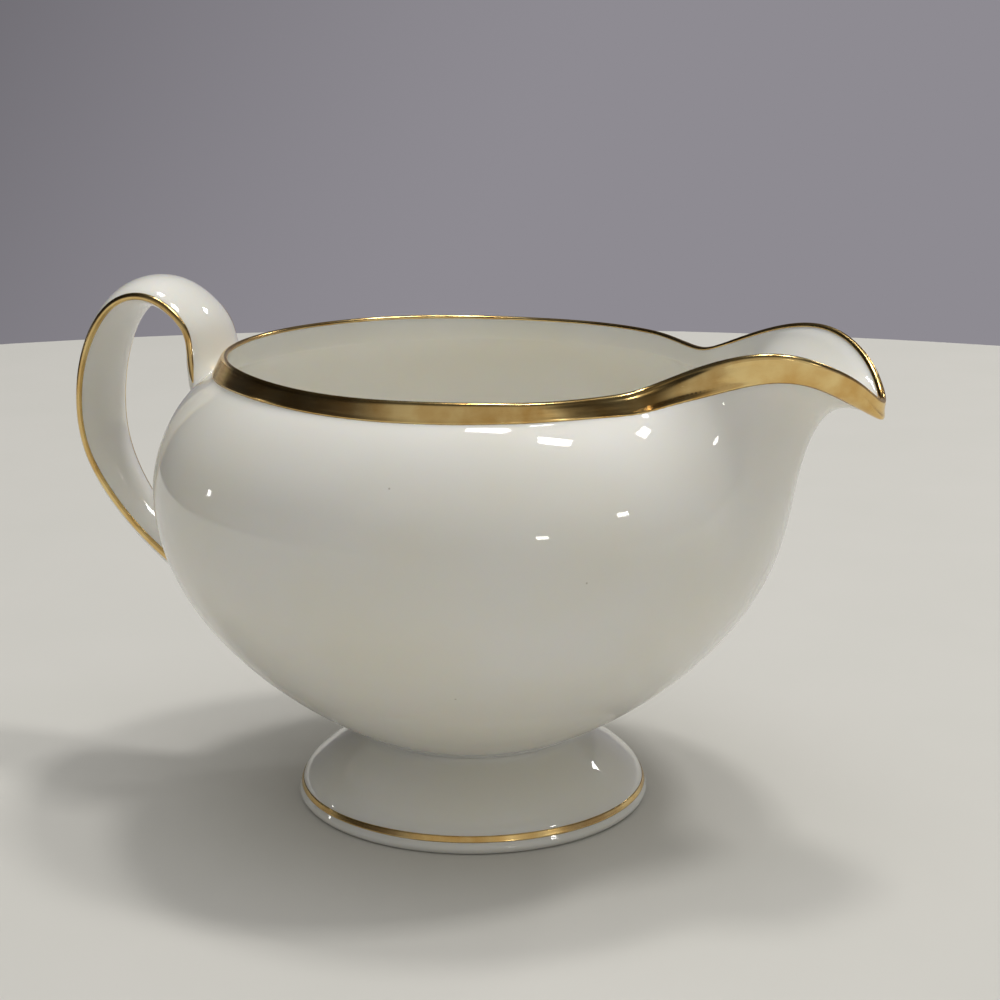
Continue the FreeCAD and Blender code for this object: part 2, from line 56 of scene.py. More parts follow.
def naturalSpline(xs, ys):
    # smooth function through points, straight at both ends
    xs = np.array(xs, float)
    ys = np.array(ys, float)
    last = len(xs) - 1
    gap = np.diff(xs)
    system = np.eye(last + 1)
    right = np.zeros(last + 1)
    for i in range(1, last):
        system[i, i - 1:i + 2] = gap[i - 1], 2 * (gap[i - 1] + gap[i]), gap[i]
        right[i] = 6 * ((ys[i + 1] - ys[i]) / gap[i] - (ys[i] - ys[i - 1]) / gap[i - 1])
    bend = np.linalg.solve(system, right)

    def value(x):
        x = np.asarray(x, float)
        i = np.clip(np.searchsorted(xs, x) - 1, 0, last - 1)
        a = xs[i + 1] - x
        b = x - xs[i]
        k = gap[i]
        cubic = (bend[i] * a**3 + bend[i + 1] * b**3) / (6 * k)
        return cubic + (ys[i] / k - bend[i] * k / 6) * a + (ys[i + 1] / k - bend[i + 1] * k / 6) * b

    return value


def shareCurve(points):
    # the same, holding its end values outside the points
    xs = [p[0] for p in points]
    inside = naturalSpline(xs, [p[1] for p in points])
    return lambda x: inside(np.clip(x, xs[0], xs[-1]))


def runningLength(points):
    steps = np.linalg.norm(np.diff(np.asarray(points, float), axis=0), axis=1)
    return np.concatenate([[0.0], np.cumsum(steps)])


def cubicShares(t):
    # say of four neighbouring control rings at a place between the middle two
    return ((1 - t)**3 / 6, (3 * t**3 - 6 * t**2 + 4) / 6, (3 * t + 3 * t**2 - 3 * t**3 + 1) / 6, t**3 / 6)


def netPoint(net, along, around):
    # point of the smooth skin over a net of rings, at a ring place and a column place
    along, around = np.broadcast_arrays(np.asarray(along, float), np.asarray(around, float))
    ring = np.floor(along).astype(int)
    column = np.floor(around).astype(int)
    ringShares = cubicShares(along - ring)
    columnShares = cubicShares(around - column)
    point = np.zeros(along.shape + (3,))
    for i in range(4):
        row = np.clip(ring - 1 + i, 0, net.shape[0] - 1)
        for j in range(4):
            share = ringShares[i] * columnShares[j]
            point += share[..., None] * net[row, (column - 1 + j) % net.shape[1]]
    return point


def gridMesh(name, points, closeAround=True, closeAlong=False, poles=False, spread=None):
    # closed mesh over rows of points; with poles the first and last rows shrink to a point.
    # spread holds the distance along and across in millimetres, kept as the UV map
    rows, columns = points.shape[:2]
    scale = metresPerMm * insideBox
    mesh = bmesh.new()
    grid = []
    for i in range(rows):
        if poles and i in (0, rows - 1):
            vertex = mesh.verts.new(Vector(points[i].mean(axis=0) * scale))
            grid.append([vertex] * columns)
        else:
            grid.append([mesh.verts.new(Vector(p * scale)) for p in points[i]])
    layer = mesh.loops.layers.uv.new("millimetres") if spread is not None else None
    for i in range(rows if closeAlong else rows - 1):
        for j in range(columns if closeAround else columns - 1):
            corners = [(i, j), (i, j + 1), (i + 1, j + 1), (i + 1, j)]
            seen = []
            for a, b in corners:
                vertex = grid[a % rows][b % columns]
                if vertex not in [v for v, _ in seen]:
                    seen.append((vertex, (a, b)))
            if len(seen) < 3:
                continue
            face = mesh.faces.new([v for v, _ in seen])
            face.smooth = True
            if layer is not None:
                for loop, (_, (a, b)) in zip(face.loops, seen):
                    loop[layer].uv = spread[min(a, spread.shape[0] - 1), min(b, spread.shape[1] - 1)]
    bmesh.ops.recalc_face_normals(mesh, faces=mesh.faces)
    data = bpy.data.meshes.new(name)
    mesh.to_mesh(data)
    mesh.free()
    piece = bpy.data.objects.new(name, data)
    bpy.context.scene.collection.objects.link(piece)
    return piece


def turnedMesh(name, outline, segments=192):
    # closed outline (radius, height) turned about the Z axis
    outline = np.asarray(outline, float)
    turn = np.linspace(0, 2 * math.pi, segments, endpoint=False)
    points = np.zeros((len(outline), segments, 3))
    points[..., 0] = outline[:, :1] * np.cos(turn)
    points[..., 1] = outline[:, :1] * np.sin(turn)
    points[..., 2] = outline[:, 1:]
    return gridMesh(name, points, closeAlong=True)


def smoothOutline(points, count):
    # evenly spaced points of a smooth curve through an outline
    length = runningLength(points)
    atR = naturalSpline(length, [p[0] for p in points])
    atZ = naturalSpline(length, [p[1] for p in points])
    s = np.linspace(0, length[-1], count)
    return np.stack([atR(s), atZ(s)], axis=1)


def unit(vectors):
    return vectors / np.linalg.norm(vectors, axis=-1)[..., None]


bowl = {
    "neckRadius": 19.3, "neckHeight": 13.0,
    "bellyRadius": 54.3, "bellyHeight": 55.2,
    "shoulderRadius": 43.9, "shoulderHeight": 74.8,
    "rimRadius": 42.55, "rimHeight": 77.9,
    "baseRadius": 8.0, "baseHeight": 11.1,
    "wall": 2.0, "rimThickness": 1.3, "floorHeight": 13.4,
    "lowerFullness": 1.76, "upperFullness": 1.36, "upperTurn": 78.0, "innerFullness": 1.15,
    "shoulderWall": 0.6, "innerSoftness": 0.8,
}
lip = {
    "reach": 69.55, "halfWidth": 17.5, "throatHalfWidth": 19.2,
    "rise": 6.0, "crestRun": 22.5, "tipSteepness": 2.0, "throatSteepness": 1.6,
    "droop": 3.1, "droopRun": 5.4, "throatDip": 0.5, "dipAt": 0.8, "dipRun": 0.22,
    "joinAngle": 60.0, "tipPace": 1.4, "rootThickening": 0.9,
    "backLean": 1.0, "backRise": 0.7, "backFrom": 90.0, "backOver": 50.0,
}
halfColumns = 48
lowerRows = 12
upperRows = 13


def lowerBowl(turn, radius, startRadius, startHeight, fullness):
    a = math.radians(abs(turn))
    r = startRadius + (radius - startRadius) * math.sin(a)**fullness
    if turn < 0:
        r = -r
    return r, bowl["bellyHeight"] - (bowl["bellyHeight"] - startHeight) * math.cos(a)


def upperBowl(turn, radius, endRadius, endHeight):
    a = math.radians(turn)
    end = math.radians(bowl["upperTurn"])
    inward = (radius - endRadius) / (1 - math.cos(end)**bowl["upperFullness"])
    upward = (endHeight - bowl["bellyHeight"]) / math.sin(end)
    r = radius - inward * (1 - math.cos(a)**bowl["upperFullness"])
    return r, bowl["bellyHeight"] + upward * math.sin(a)


def onRimCircle(angle):
    a = math.radians(angle)
    return bowl["rimRadius"] * math.cos(a), bowl["rimRadius"] * math.sin(a)


lipRun = lip["reach"] - bowl["rimRadius"]
halfPlan = [
    (lip["reach"], 0.0),
    (lip["reach"] - 0.07 * lipRun, 0.30 * lip["halfWidth"]),
    (lip["reach"] - 0.33 * lipRun, 0.765 * lip["halfWidth"]),
    (lip["reach"] - 0.74 * lipRun, lip["halfWidth"]),
    (bowl["rimRadius"] - 4.0, lip["throatHalfWidth"]),
    (bowl["rimRadius"] - 10.0, lip["throatHalfWidth"] + 5.4),
    onRimCircle(lip["joinAngle"]),
]
planPoints = [(x, -y) for x, y in halfPlan[2:0:-1]] + halfPlan + [onRimCircle(a) for a in (75.0, 90.0, 105.0)]
planLength = runningLength(planPoints)
planLength = planLength - planLength[2]
planX = naturalSpline(planLength, [p[0] for p in planPoints])
planY = naturalSpline(planLength, [p[1] for p in planPoints])
lipLength = planLength[len(halfPlan) + 1]


def alongRim(angle):
    # distance along the rim from the tip of the lip
    circlePace = bowl["rimRadius"] * math.radians(1.0)
    join = lip["joinAngle"]
    if angle > join:
        return lipLength + (angle - join) * circlePace
    h = angle / join
    s = lipLength * (3 * h**2 - 2 * h**3)
    s += join * lip["tipPace"] * (h - 2 * h**2 + h**3)
    return s + join * circlePace * (h**3 - h**2)


def rimPlan(angle):
    side = -1.0 if angle < 0 else 1.0
    a = abs(angle)
    if a >= lip["joinAngle"]:
        x, y = onRimCircle(a)
        return x, side * y
    s = alongRim(a)
    return float(planX(s)), side * float(planY(s))


def rimNormal(angle):
    xa, ya = rimPlan(angle - 0.5)
    xb, yb = rimPlan(angle + 0.5)
    length = math.hypot(xb - xa, yb - ya)
    return (yb - ya) / length, (xa - xb) / length


def columnAngle(i):
    # columns stand close together at the lip and wide apart at the back
    t = i / halfColumns
    return 180.0 * (t - 0.6 * math.sin(math.pi * t) / math.pi)


def sideRise(s):
    # height of the rim over its circle at a distance along it from the tip
    fromDip = (s / lipLength - lip["dipAt"]) / lip["dipRun"]
    rise = -lip["throatDip"] * math.exp(-fromDip**2)
    if s < 2 * lip["crestRun"]:
        steepness = lip["tipSteepness"] if s < lip["crestRun"] else lip["throatSteepness"]
        rise += lip["rise"] * math.sin(math.pi * s / (2 * lip["crestRun"]))**steepness
    return rise


# shares of the lip's reach, rise and droop by height between belly (0) and rim (1)
outsidePull = shareCurve([(-0.5, 0), (0, 0.027), (0.24, 0.095), (0.385, 0.163), (0.557, 0.283), (0.684, 0.42),
                          (0.754, 0.55), (0.794, 0.67), (0.829, 0.80), (0.864, 0.93), (0.93, 0.985), (1, 1)])
insidePull = shareCurve([(-0.22, 0), (0.21, 0.03), (0.474, 0.13), (0.671, 0.31), (0.816, 0.56), (0.89, 0.76),
                         (0.956, 0.93), (1, 1)])
outsidePinch = shareCurve([(0.2, 0), (0.65, 0.25), (0.86, 0.62), (1, 1)])
riseShare = shareCurve([(-0.22, 0), (0.21, 0.15), (0.56, 0.45), (0.86, 0.82), (1, 1)])
outsideDroop = shareCurve([(0.70, 0), (0.80, -0.07), (0.83, 0.3), (0.864, 0.98), (1, 1)])
insideDroop = shareCurve([(0.89, 0), (0.956, 0.4), (1, 1)])
# and of the rim's lean and rise over the handle
backShare = shareCurve([(0.86, 0), (0.93, 0.45), (1, 1)])

halfAngles = [columnAngle(i) for i in range(halfColumns + 1)]
columnFacts = []
for i, angle in enumerate(halfAngles):
    step = math.radians(halfAngles[min(i + 1, halfColumns)] - halfAngles[max(i - 1, 0)]) / 2
    if i in (0, halfColumns):
        step *= 2
    along = alongRim(angle)
    columnFacts.append([
        math.cos(math.radians(angle)), math.sin(math.radians(angle)), *rimPlan(angle), *rimNormal(angle),
        3 / (2 + math.cos(step)), sideRise(along), lip["droop"] * math.exp(-((along / lip["droopRun"])**2)),
        math.sin(math.pi / 2 * min(1.0, max(0.0, (angle - lip["backFrom"]) / lip["backOver"])))**2,
    ])
(columnCos, columnSin, columnX, columnY, normalX, normalY, columnSpread, columnRise, columnDroop,
 columnBack) = np.array(columnFacts).T


def shareAt(z):
    return (z - bowl["bellyHeight"]) / (bowl["rimHeight"] - bowl["bellyHeight"])


def drawnRing(r, z, push, pull, pinch, droop):
    # one closed ring of control points, pulled toward the lip
    share = shareAt(z)
    dx = columnX + normalX * push - (bowl["rimRadius"] + push) * columnCos
    dy = columnY + normalY * push - (bowl["rimRadius"] + push) * columnSin
    half = np.zeros((halfColumns + 1, 3))
    back = float(backShare(share)) * columnBack
    radius = columnSpread * r - lip["backLean"] * back
    half[:, 0] = radius * columnCos + pull * dx
    half[:, 1] = radius * columnSin + pinch * dy
    half[:, 2] = z + float(riseShare(share)) * columnRise - droop * columnDroop + lip["backRise"] * back
    half[0, 1] = half[-1, 1] = 0.0
    other = half[-2:0:-1] * [1, -1, 1]
    return np.concatenate([half, other])


def outerRing(r, z):
    share = shareAt(z)
    belowRim = min(1.0, max(0.0, (bowl["rimHeight"] - z) / (bowl["rimHeight"] - bowl["shoulderHeight"])))
    push = bowl["rimThickness"] / 2 + lip["rootThickening"] * belowRim
    pull, pinch, droop = (float(curve(share)) for curve in (outsidePull, outsidePinch, outsideDroop))
    return drawnRing(r, z, push, pull, pinch, droop)


def innerRing(r, z):
    pull = float(insidePull(shareAt(z)))
    return drawnRing(r, z, -bowl["rimThickness"] / 2, pull, pull, float(insideDroop(shareAt(z))))


def rimRing(turn):
    a = math.radians(turn)
    push = bowl["rimThickness"] / 2 * math.cos(a)
    z = bowl["rimHeight"] - bowl["rimThickness"] / 2 * (1 - math.sin(a))
    return drawnRing(bowl["rimRadius"] + push, z, push, 1.0, 1.0, 1.0)


def bowlNet():
    net = [outerRing(part * bowl["baseRadius"], bowl["baseHeight"]) for part in (-0.5, 0.0, 0.5)]
    bottomCurve = 2.2
    for part in (0.0, 0.3, 0.6, 0.85):
        r = bowl["baseRadius"] + part * (bowl["neckRadius"] - bowl["baseRadius"])
        rise = (bowl["neckHeight"] - bowl["baseHeight"]) * part**bottomCurve
        net.append(outerRing(r, bowl["baseHeight"] + rise))
    for k in range(lowerRows):
        r, z = lowerBowl(90.0 * k / lowerRows, bowl["bellyRadius"], bowl["neckRadius"], bowl["neckHeight"],
                         bowl["lowerFullness"])
        net.append(outerRing(r, z))
    for k in range(upperRows + 1):
        r, z = upperBowl(bowl["upperTurn"] * k / upperRows, bowl["bellyRadius"], bowl["shoulderRadius"],
                         bowl["shoulderHeight"])
        net.append(outerRing(r, z))
    bandHeight = bowl["rimHeight"] - bowl["rimThickness"] / 2 - bowl["shoulderHeight"]
    outerRim = bowl["rimRadius"] + bowl["rimThickness"] / 2
    for part in (0.33, 0.66, 0.9):
        r = bowl["shoulderRadius"] + part * (outerRim - bowl["shoulderRadius"])
        net.append(outerRing(r, bowl["shoulderHeight"] + part * bandHeight))
    net += [rimRing(turn) for turn in (0.0, 35.0, 65.0, 90.0, 115.0, 145.0, 180.0)]
    innerShoulder = (bowl["shoulderRadius"] - bowl["rimThickness"],
                     bowl["shoulderHeight"] - bowl["shoulderWall"] * bowl["wall"])
    innerRim = (bowl["rimRadius"] - bowl["rimThickness"] / 2, bowl["rimHeight"] - bowl["rimThickness"] / 2)
    for part in (0.12, 0.3, 0.5, 0.7, 0.88):
        r = innerRim[0] + part**2 * (innerShoulder[0] - innerRim[0])
        net.append(innerRing(r, innerRim[1] - part * (innerRim[1] - innerShoulder[1])))
    innerRadius = bowl["bellyRadius"] - bowl["wall"]
    for k in range(upperRows, 0, -1):
        r, z = upperBowl(bowl["upperTurn"] * k / upperRows, innerRadius, *innerShoulder)
        net.append(innerRing(r - bowl["innerSoftness"] * math.sin(math.pi * (k / upperRows)**2), z))
    for k in range(lowerRows, -2, -1):
        r, z = lowerBowl(90.0 * k / lowerRows, innerRadius, 0.0, bowl["floorHeight"], bowl["innerFullness"])
        net.append(innerRing(r, z))
    return np.array(net)


jugNet = bowlNet()
firstOuterRow = 3              # rings added to close the underside
shoulderRow = firstOuterRow + 4 + lowerRows + upperRows
topRow = shoulderRow + 3 + 4
columnTotal = 2 * halfColumns
ringPlaces = np.linspace(1, len(jugNet) - 2, (len(jugNet) - 3) * (detail + 1) + 1)
columnPlaces = np.linspace(0, columnTotal, columnTotal * detail, endpoint=False)
bowlPoints = netPoint(jugNet, ringPlaces[:, None], columnPlaces[None, :])
bowlPiece = gridMesh("bowl_china", bowlPoints, poles=True)
print("bowl and lip made")

# outside of the round part at the back, as (radius, height), for what is stuck onto it
rowsToNeck = 3.5
backRows = np.linspace(firstOuterRow + rowsToNeck, topRow, 500)
backPoints = netPoint(jugNet, backRows, float(halfColumns))
backOutline = np.stack([-backPoints[:, 0], backPoints[:, 2]], axis=1)
backTangent = unit(np.gradient(backOutline, axis=0))
backNormal = np.stack([backTangent[:, 1], -backTangent[:, 0]], axis=1)


def overBowl(points):
    # height over the bowl's round part, the nearest point on it and its normal
    flat = points.reshape(-1, 3)
    radius = np.hypot(flat[:, 0], flat[:, 1])
    place = np.stack([radius, flat[:, 2]], axis=1)
    nearest = np.array([np.argmin(((backOutline - p)**2).sum(axis=1)) for p in place])
    offset = place - backOutline[nearest]
    slide = (offset * backTangent[nearest]).sum(axis=1)[:, None] * backTangent[nearest]
    height = (offset * backNormal[nearest]).sum(axis=1)
    foot = backOutline[nearest] + slide
    radial = flat[:, :2] / radius[:, None]
    onBowl = np.concatenate([radial * foot[:, :1], foot[:, 1:]], axis=1)
    normal = np.concatenate([radial * backNormal[nearest][:, :1], backNormal[nearest][:, 1:]], axis=1)
    shape = points.shape
    return height.reshape(shape[:-1]), onBowl.reshape(shape), normal.reshape(shape)


foot = {
    "radius": 30.8, "edgeHeight": 2.7, "ringOuter": 30.2, "ringInner": 28.0, "wall": 2.4,
    "edgeRounding": 0.35, "jointBelowNeck": 0.35, "jointInset": 1.4, "jointDrop": 0.3,
    # glaze in the corner under the bowl: its reach from the neck, and where its hidden side is
    "glazeReach": 2.2, "glazeBelow": 20.0, "tuckIn": 0.6, "tuckUp": 0.3, "tuckDown": 0.4, "glazeBend": 0.5,
}


def footOutside():
    # from the neck down to the standing ring
    drop = bowl["neckHeight"] - foot["edgeHeight"]
    flare = foot["radius"] - bowl["neckRadius"]
    return [
        (bowl["neckRadius"] - 0.1, bowl["neckHeight"] + 1.2),
        (bowl["neckRadius"] + 0.15, bowl["neckHeight"] - 0.08 * drop),
        (bowl["neckRadius"] + 0.14 * flare, bowl["neckHeight"] - 0.22 * drop),
        (bowl["neckRadius"] + 0.44 * flare, bowl["neckHeight"] - 0.44 * drop),
        (bowl["neckRadius"] + 0.73 * flare, bowl["neckHeight"] - 0.68 * drop),
        (bowl["neckRadius"] + 0.905 * flare, foot["edgeHeight"] + 0.11 * drop),
        (foot["radius"] - 0.3, 0.7 * foot["edgeHeight"]),
        (foot["radius"], 0.36 * foot["edgeHeight"]),
        (foot["ringOuter"], 0.0),
    ]


def footInside():
    # from the standing ring up into the hollow
    drop = bowl["neckHeight"] - foot["edgeHeight"]
    flare = foot["ringInner"] - bowl["neckRadius"]
    return [
        (foot["ringInner"], 0.0),
        (foot["ringInner"] - 0.1 * flare, 0.4 * foot["edgeHeight"]),
        (foot["ringInner"] - 0.3 * flare, 1.18 * foot["edgeHeight"]),
        (bowl["neckRadius"] + 0.185 * flare, bowl["neckHeight"] - 0.62 * drop),
        (bowl["neckRadius"] - 0.7 * foot["wall"], bowl["neckHeight"] - 0.34 * drop),
        (bowl["neckRadius"] - 1.1 * foot["wall"], bowl["neckHeight"] + 1.2),
    ]


footSide = smoothOutline(footOutside(), 120)
footHollow = smoothOutline(footInside(), 80)
rounding = foot["edgeRounding"]


def roundedCorner(before, corner, after, size, count=6):
    # points of a small curve in place of a corner
    a = corner + size * (before - corner) / np.linalg.norm(before - corner)
    b = corner + size * (after - corner) / np.linalg.norm(after - corner)
    t = np.linspace(0, 1, count)[:, None]
    return (1 - t)**2 * a + 2 * t * (1 - t) * corner + t**2 * b


jointTop = bowl["neckHeight"] - foot["jointBelowNeck"]
aboveRounding = 1.2 * rounding
side = footSide[(footSide[:, 1] < jointTop) & (footSide[:, 1] > aboveRounding)]
hollow = footHollow[(footHollow[:, 1] < jointTop - foot["tuckDown"]) & (footHollow[:, 1] > aboveRounding)]
ringOuter = np.array([foot["ringOuter"], 0.0])
ringInner = np.array([foot["ringInner"], 0.0])
footOutline = np.concatenate([
    side,
    roundedCorner(side[-1], ringOuter, ringInner, rounding),
    roundedCorner(ringOuter, ringInner, hollow[0], rounding),
    hollow,
    [[bowl["neckRadius"] - foot["jointInset"], jointTop - foot["jointDrop"]]],
])
footPiece = turnedMesh("foot_china", footOutline)

# glaze that gathered in the corner between foot and bowl
footStart = side[0]
footRun = unit((footSide[:-1] - footSide[1:]))[np.argmin(abs(footSide[:-1, 1] - footStart[1]))]
offEnd = abs(backOutline[:, 0] - (bowl["neckRadius"] + foot["glazeReach"]))
glazeEnd = np.argmin(np.where(backOutline[:, 1] > foot["glazeBelow"], np.inf, offEnd))
bowlEnd = backOutline[glazeEnd]
bowlRun = backTangent[glazeEnd]
t = np.linspace(0, 1, 16)[:, None]
reach = foot["glazeBend"] * np.linalg.norm(bowlEnd - footStart)
neckCurve = ((1 - t)**3 * footStart + 3 * t * (1 - t)**2 * (footStart + reach * footRun)
             + 3 * t**2 * (1 - t) * (bowlEnd - reach * bowlRun) + t**3 * bowlEnd)
tucked = bowl["neckRadius"] - foot["tuckIn"]
neckOutline = np.concatenate([neckCurve, [[tucked, bowl["neckHeight"] + foot["tuckUp"]],
                                          [tucked, jointTop - foot["tuckDown"]]]])
neckPiece = turnedMesh("foot_joint_glaze", neckOutline)
print("foot made")

handle = {
    "reach": 72.6, "top": 86.0, "low": 35.0, "rootGap": 4.9, "rootFlare": 3.1,
    "halfWidthTop": 8.4, "halfWidthLow": 4.9, "dome": 3.5, "hollow": 2.2,
    "faceFullness": 1.4, "jointHeight": 0.55, "jointSpread": 1.3, "jointLeast": 0.2, "jointBend": 0.42,
    "bandEdge": 74.3, "bandFade": 3.0, "rootTuck": 0.5,
}
strapColumns = 24
strapRows = 46


def profileRadius(z):
    return float(np.interp(z, backOutline[:, 1], backOutline[:, 0]))


def ridgePoints():
    # middle line of the strap in the plane Y = 0, from inside the shoulder to inside the belly
    rootReach = bowl["shoulderRadius"] + handle["rootGap"]
    reach = handle["reach"] - rootReach
    rise = handle["top"] - handle["low"]
    shape = [(0.02, 0.795), (0.054, 0.88), (0.178, 0.947), (0.335, 0.99), (0.508, 0.998), (0.665, 0.969),
             (0.793, 0.91), (0.946, 0.763), (1.0, 0.6), (0.963, 0.437), (0.814, 0.29), (0.599, 0.161),
             (0.339, 0.053)]
    upper = [(-rootReach + 5.0, bowl["shoulderHeight"] - 10.5),
             (-rootReach + 1.2, bowl["shoulderHeight"] - 5.0)]
    middle = [(-(rootReach + f * reach), handle["low"] + g * rise) for f, g in shape]
    bellySide = profileRadius(handle["low"])
    lower = [(-bellySide - 5.8, handle["low"] + 0.1), (-bellySide - 0.6, handle["low"] - 2.2),
             (-profileRadius(handle["low"] - 3.0) + 6.5, handle["low"] - 4.2)]
    return upper + middle + lower


# half width, dome of the outer face and hollow of the inner face by share of the strap's length
topWidth, lowWidth, flare = handle["halfWidthTop"], handle["halfWidthLow"], handle["rootFlare"]
halfWidth = shareCurve([(0.0, topWidth + flare), (0.06, topWidth + 0.58 * flare),
                        (0.12, topWidth + 0.16 * flare), (0.2, topWidth), (0.5, topWidth - 0.2),
                        (0.9, lowWidth + 0.1), (1.0, lowWidth + 1.1)])
domeShare = shareCurve([(0.0, 1.5), (0.07, 1.25), (0.13, 0.75), (0.25, 0.83), (0.4, 0.75), (0.55, 0.93),
                        (0.85, 0.9), (1.0, 1.2)])
hollowShare = shareCurve([(0.0, 2.6), (0.07, 2.0), (0.13, 1.4), (0.25, 1.15), (0.4, 1.0), (0.85, 0.95),
                          (1.0, 1.6)])


def strapNet():
    ridge = ridgePoints()
    length = runningLength(ridge)
    atX = naturalSpline(length, [p[0] for p in ridge])
    atZ = naturalSpline(length, [p[1] for p in ridge])
    turn = 2 * math.pi * np.arange(strapColumns) / strapColumns
    net = np.zeros((strapRows + 1, strapColumns, 3))
    for k in range(strapRows + 1):
        share = k / strapRows
        s = share * length[-1]
        tangent = unit(np.array([atX(s + 0.05) - atX(s - 0.05), atZ(s + 0.05) - atZ(s - 0.05)]))
        dome = handle["dome"] * domeShare(share)
        dip = handle["hollow"] * hollowShare(share)
        off = np.where(np.sin(turn) < 0, -dip, dome) * np.abs(np.sin(turn))**handle["faceFullness"]
        net[k, :, 0] = atX(s) + tangent[1] * off
        net[k, :, 1] = halfWidth(share) * np.cos(turn)
        net[k, :, 2] = atZ(s) - tangent[0] * off
    return net


handleNet = strapNet()
around = np.linspace(0, strapColumns, strapColumns * 3 * detail, endpoint=False)


def rootPlaces(startPlace, endPlace):
    # for every column: where the strap comes near the bowl, where it meets it
    places = np.linspace(startPlace, endPlace, 160)
    points = netPoint(handleNet, places[:, None], around[None, :])
    height = overBowl(points)[0]
    near = np.zeros(len(around))
    meet = np.zeros(len(around))
    for j in range(len(around)):
        for found, level in ((near, handle["jointHeight"]), (meet, 0.0)):
            i = int(np.argmax(height[:, j] < level))
            part = (height[i - 1, j] - level) / (height[i - 1, j] - height[i, j])
            found[j] = places[i - 1] + part * (places[i] - places[i - 1])
    return near, meet


def smoothJoint(near, meet, inward, spreadLimit):
    # rows from the strap's own surface, curving out onto the bowl, then tucked under it
    start = netPoint(handleNet, near, around)
    run = unit(netPoint(handleNet, near + inward * tinyStep, around) - start)
    onBowl, normal = overBowl(netPoint(handleNet, meet, around))[1:]
    centre = onBowl.mean(axis=0)
    away = onBowl - centre
    away = unit(away - (away * normal).sum(axis=1)[:, None] * normal)
    end, endNormal = overBowl(onBowl + away * spreadLimit(onBowl)[:, None])[1:]
    endRun = unit(away - (away * endNormal).sum(axis=1)[:, None] * endNormal)
    reach = handle["jointBend"] * np.linalg.norm(end - start, axis=1)[:, None]
    rows = []
    for s in np.linspace(0, 1, 7 * detail + 1)[1:]:
        rows.append((1 - s)**3 * start + 3 * s * (1 - s)**2 * (start + reach * run)
                    + 3 * s**2 * (1 - s) * (end - reach * endRun) + s**3 * end)
    rows[-1] = rows[-1] - tinyStep * endNormal
    rows.append(onBowl - handle["rootTuck"] * normal)
    middle = centre - 1.2 * handle["rootTuck"] * normal.mean(axis=0)
    rows.append(np.repeat(middle[None, :], len(around), axis=0))
    return np.array(rows)


def lowerSpread(points):
    return np.full(len(points), handle["jointSpread"])


def upperSpread(points):
    # the fillet dies away where it would run under the gilt band
    clear = np.clip((handle["bandEdge"] - points[:, 2]) / handle["bandFade"], 0, 1)
    return handle["jointLeast"] + (handle["jointSpread"] - handle["jointLeast"]) * clear


upperNear, upperMeet = rootPlaces(strapRows * 0.3, 1.0)
lowerNear, lowerMeet = rootPlaces(strapRows * 0.8, strapRows - 1.0)
upperJoint = smoothJoint(upperNear, upperMeet, -1.0, upperSpread)
lowerJoint = smoothJoint(lowerNear, lowerMeet, 1.0, lowerSpread)
strapShares = np.linspace(0, 1, strapRows * 2 * detail + 1)[:, None]
strapPlaces = upperNear + (lowerNear - upperNear) * strapShares
strapPoints = netPoint(handleNet, strapPlaces, np.broadcast_to(around, strapPlaces.shape))
handlePoints = np.concatenate([upperJoint[::-1], strapPoints, lowerJoint])
handlePiece = gridMesh("handle_china", handlePoints, poles=True)
print("handle made")

gilding = {
    "film": 0.1, "sink": 0.01, "under": 0.05, "bandWidth": 3.9, "bandOver": 0.8, "bandRounding": 0.025,
    "lineWidth": 1.15, "lineRounding": 0.125, "lineTaper": 3.0, "waver": 0.06, "footLineTop": 3.16,
}
# the band is laid wider or narrower round the rim: extra width by columns from the tip of the lip
bandExtra = shareCurve([(0, 0.45), (3, 0.8), (7.5, 0.1), (11, 0.6), (14.5, 1.0), (18.5, -0.1), (26, -0.4),
                        (34, -0.55), (39, -1.15), (44, -0.8), (48, -0.3)])
waverTotal = 8
waverPhases = np.random.default_rng(7).uniform(0, 2 * math.pi, (6, waverTotal))


def handWaver(s, length, which, closed=True):
    # a hand-laid edge wanders a few hundredths of a millimetre
    total = np.zeros_like(s)
    for k in range(waverTotal):
        turns = k + 2 if closed else 0.7 * k + 1.3
        total += np.sin(2 * math.pi * turns * s / length + waverPhases[which, k]) / (k + 2)
    return gilding["waver"] * total


def filmTop(share, rounding):
    # height of a film across its width: flat, with rounded edges
    return np.clip(np.minimum(share, 1 - share) / rounding, 0, 1)**0.5


def filmLift(top, belowTotal):
    # over the china for the visible points, just under it for the hidden ones
    return np.concatenate([gilding["film"] * top - gilding["sink"], np.full(belowTotal, -gilding["under"])])


def skinNormal(net, along, around):
    ahead = netPoint(net, along + tinyStep, around) - netPoint(net, along - tinyStep, around)
    across = netPoint(net, along, around + tinyStep) - netPoint(net, along, around - tinyStep)
    return unit(np.cross(across, ahead))


def placeAtDistance(net, start, column, width, direction):
    # ring place at a distance from a start ring, measured over the skin
    places = start + direction * np.linspace(0, 12, 1201)
    points = netPoint(net, places, float(column))
    return float(np.interp(width, runningLength(points), places))


